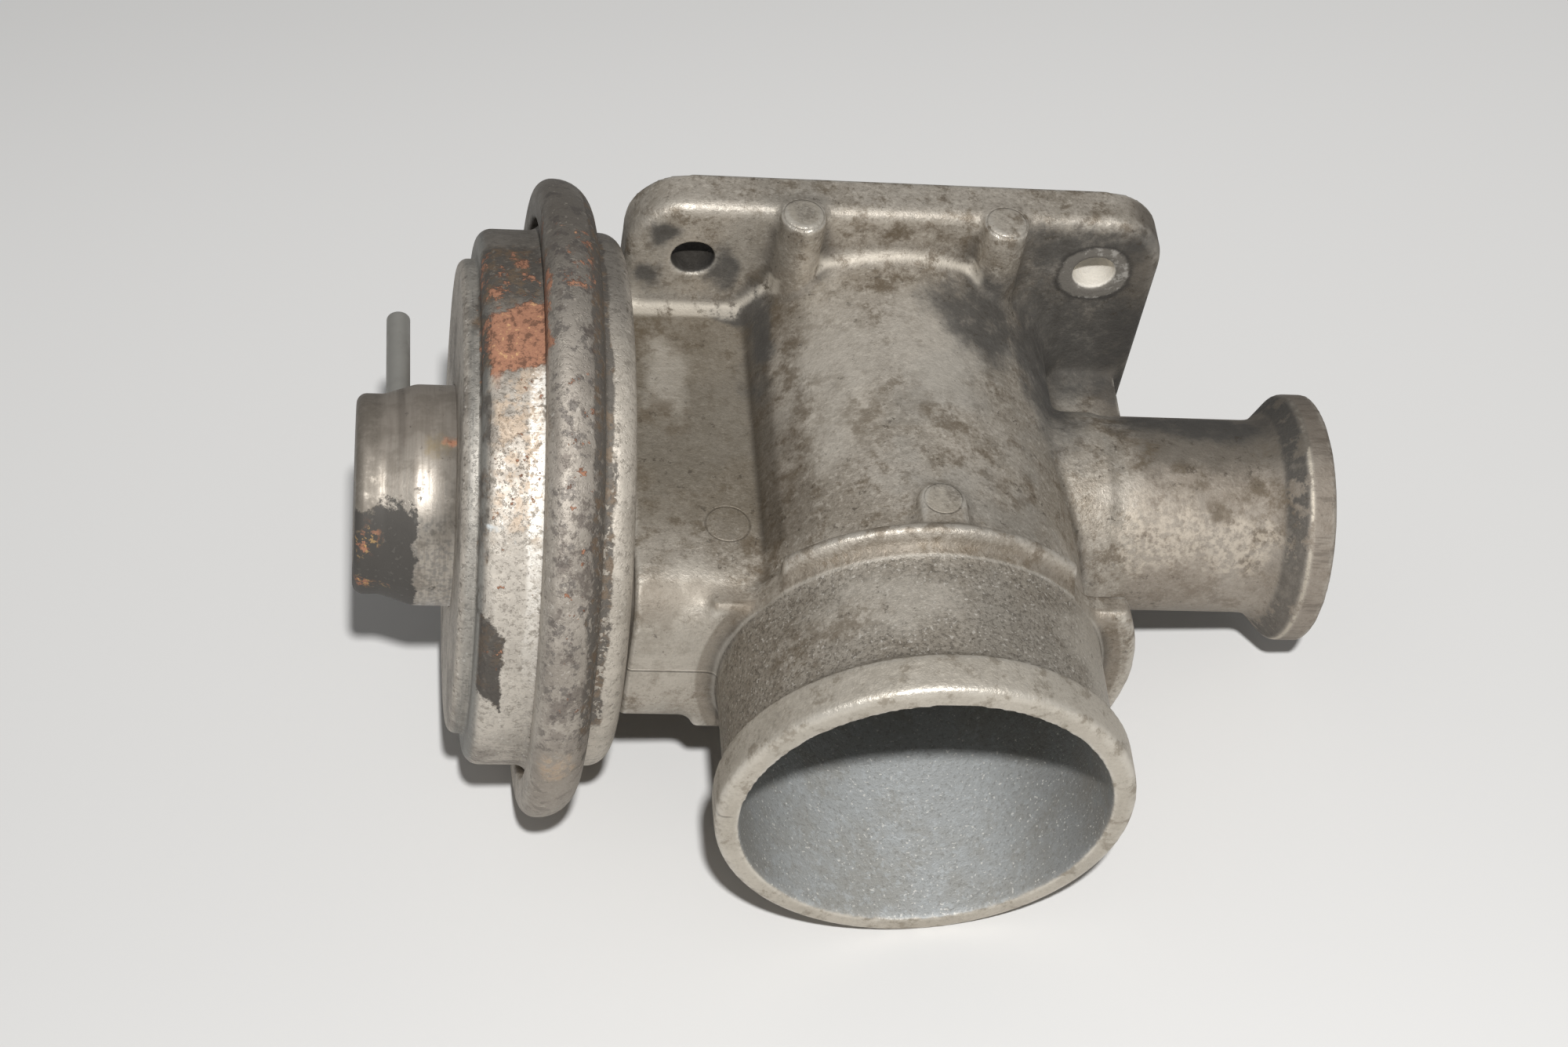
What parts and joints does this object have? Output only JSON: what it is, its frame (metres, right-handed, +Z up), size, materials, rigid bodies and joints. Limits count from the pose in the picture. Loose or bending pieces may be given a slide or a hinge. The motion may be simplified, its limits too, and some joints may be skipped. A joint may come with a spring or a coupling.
{
  "type": "exhaust gas recirculation valve",
  "caption": "Vacuum-operated exhaust gas recirculation valve: cast throat with bolt flange and hose spigot, steel diaphragm can and clamp-flanged exhaust inlet.",
  "frame": {"origin": "centre of the four-bolt manifold pattern, on the mounting face, on the throat axis", "axes": "+Y out of the mounting face towards the manifold, +X along the valve stem from the diaphragm can towards the exhaust inlet, +Z up"},
  "size_m": [0.1504, 0.1082, 0.0984],
  "materials": {
    "cast_aluminium": "die-cast, soot and brown film",
    "plated_steel": "dull zinc plating with rust",
    "cap_steel": "drawn, flaked coating",
    "nipple_steel": "dark plated",
    "stainless_steel": "turned, heat-stained",
    "spring_steel": "oiled wire",
    "screw_steel": "zinc-plated",
    "bronze": "sintered",
    "rubber": "matt black",
    "fibre": "graphite sheet"
  },
  "bodies": {
    "valve_body": {"housing": "cast_aluminium", "manifold_seal": "rubber", "valve_seat": "stainless_steel", "stem_scraper": "stainless_steel", "stem_bush": "bronze", "stem_seal": "rubber", "seal_retainer": "plated_steel", "base_gasket": "fibre", "base_screws": "screw_steel", "actuator_base": "plated_steel", "actuator_cover": "plated_steel", "end_cap": "cap_steel", "vacuum_nipple": "nipple_steel", "diaphragm": "rubber", "return_spring": "spring_steel", "spring_seat": "plated_steel"},
    "moving_valve": {"valve_stem": "stainless_steel", "valve_head": "stainless_steel", "support_plate": "plated_steel", "piston_plate": "plated_steel", "stem_nut": "screw_steel"}
  },
  "joints": [
    {"name": "valve_lift", "type": "slide", "parent": "valve_body", "child": "moving_valve", "axis": [-1, 0, 0], "range_m": [0, 0.008], "stiffness_N_per_m": 1500, "springref_m": -0.01, "deforming": ["return_spring", "diaphragm"]}
  ]
}
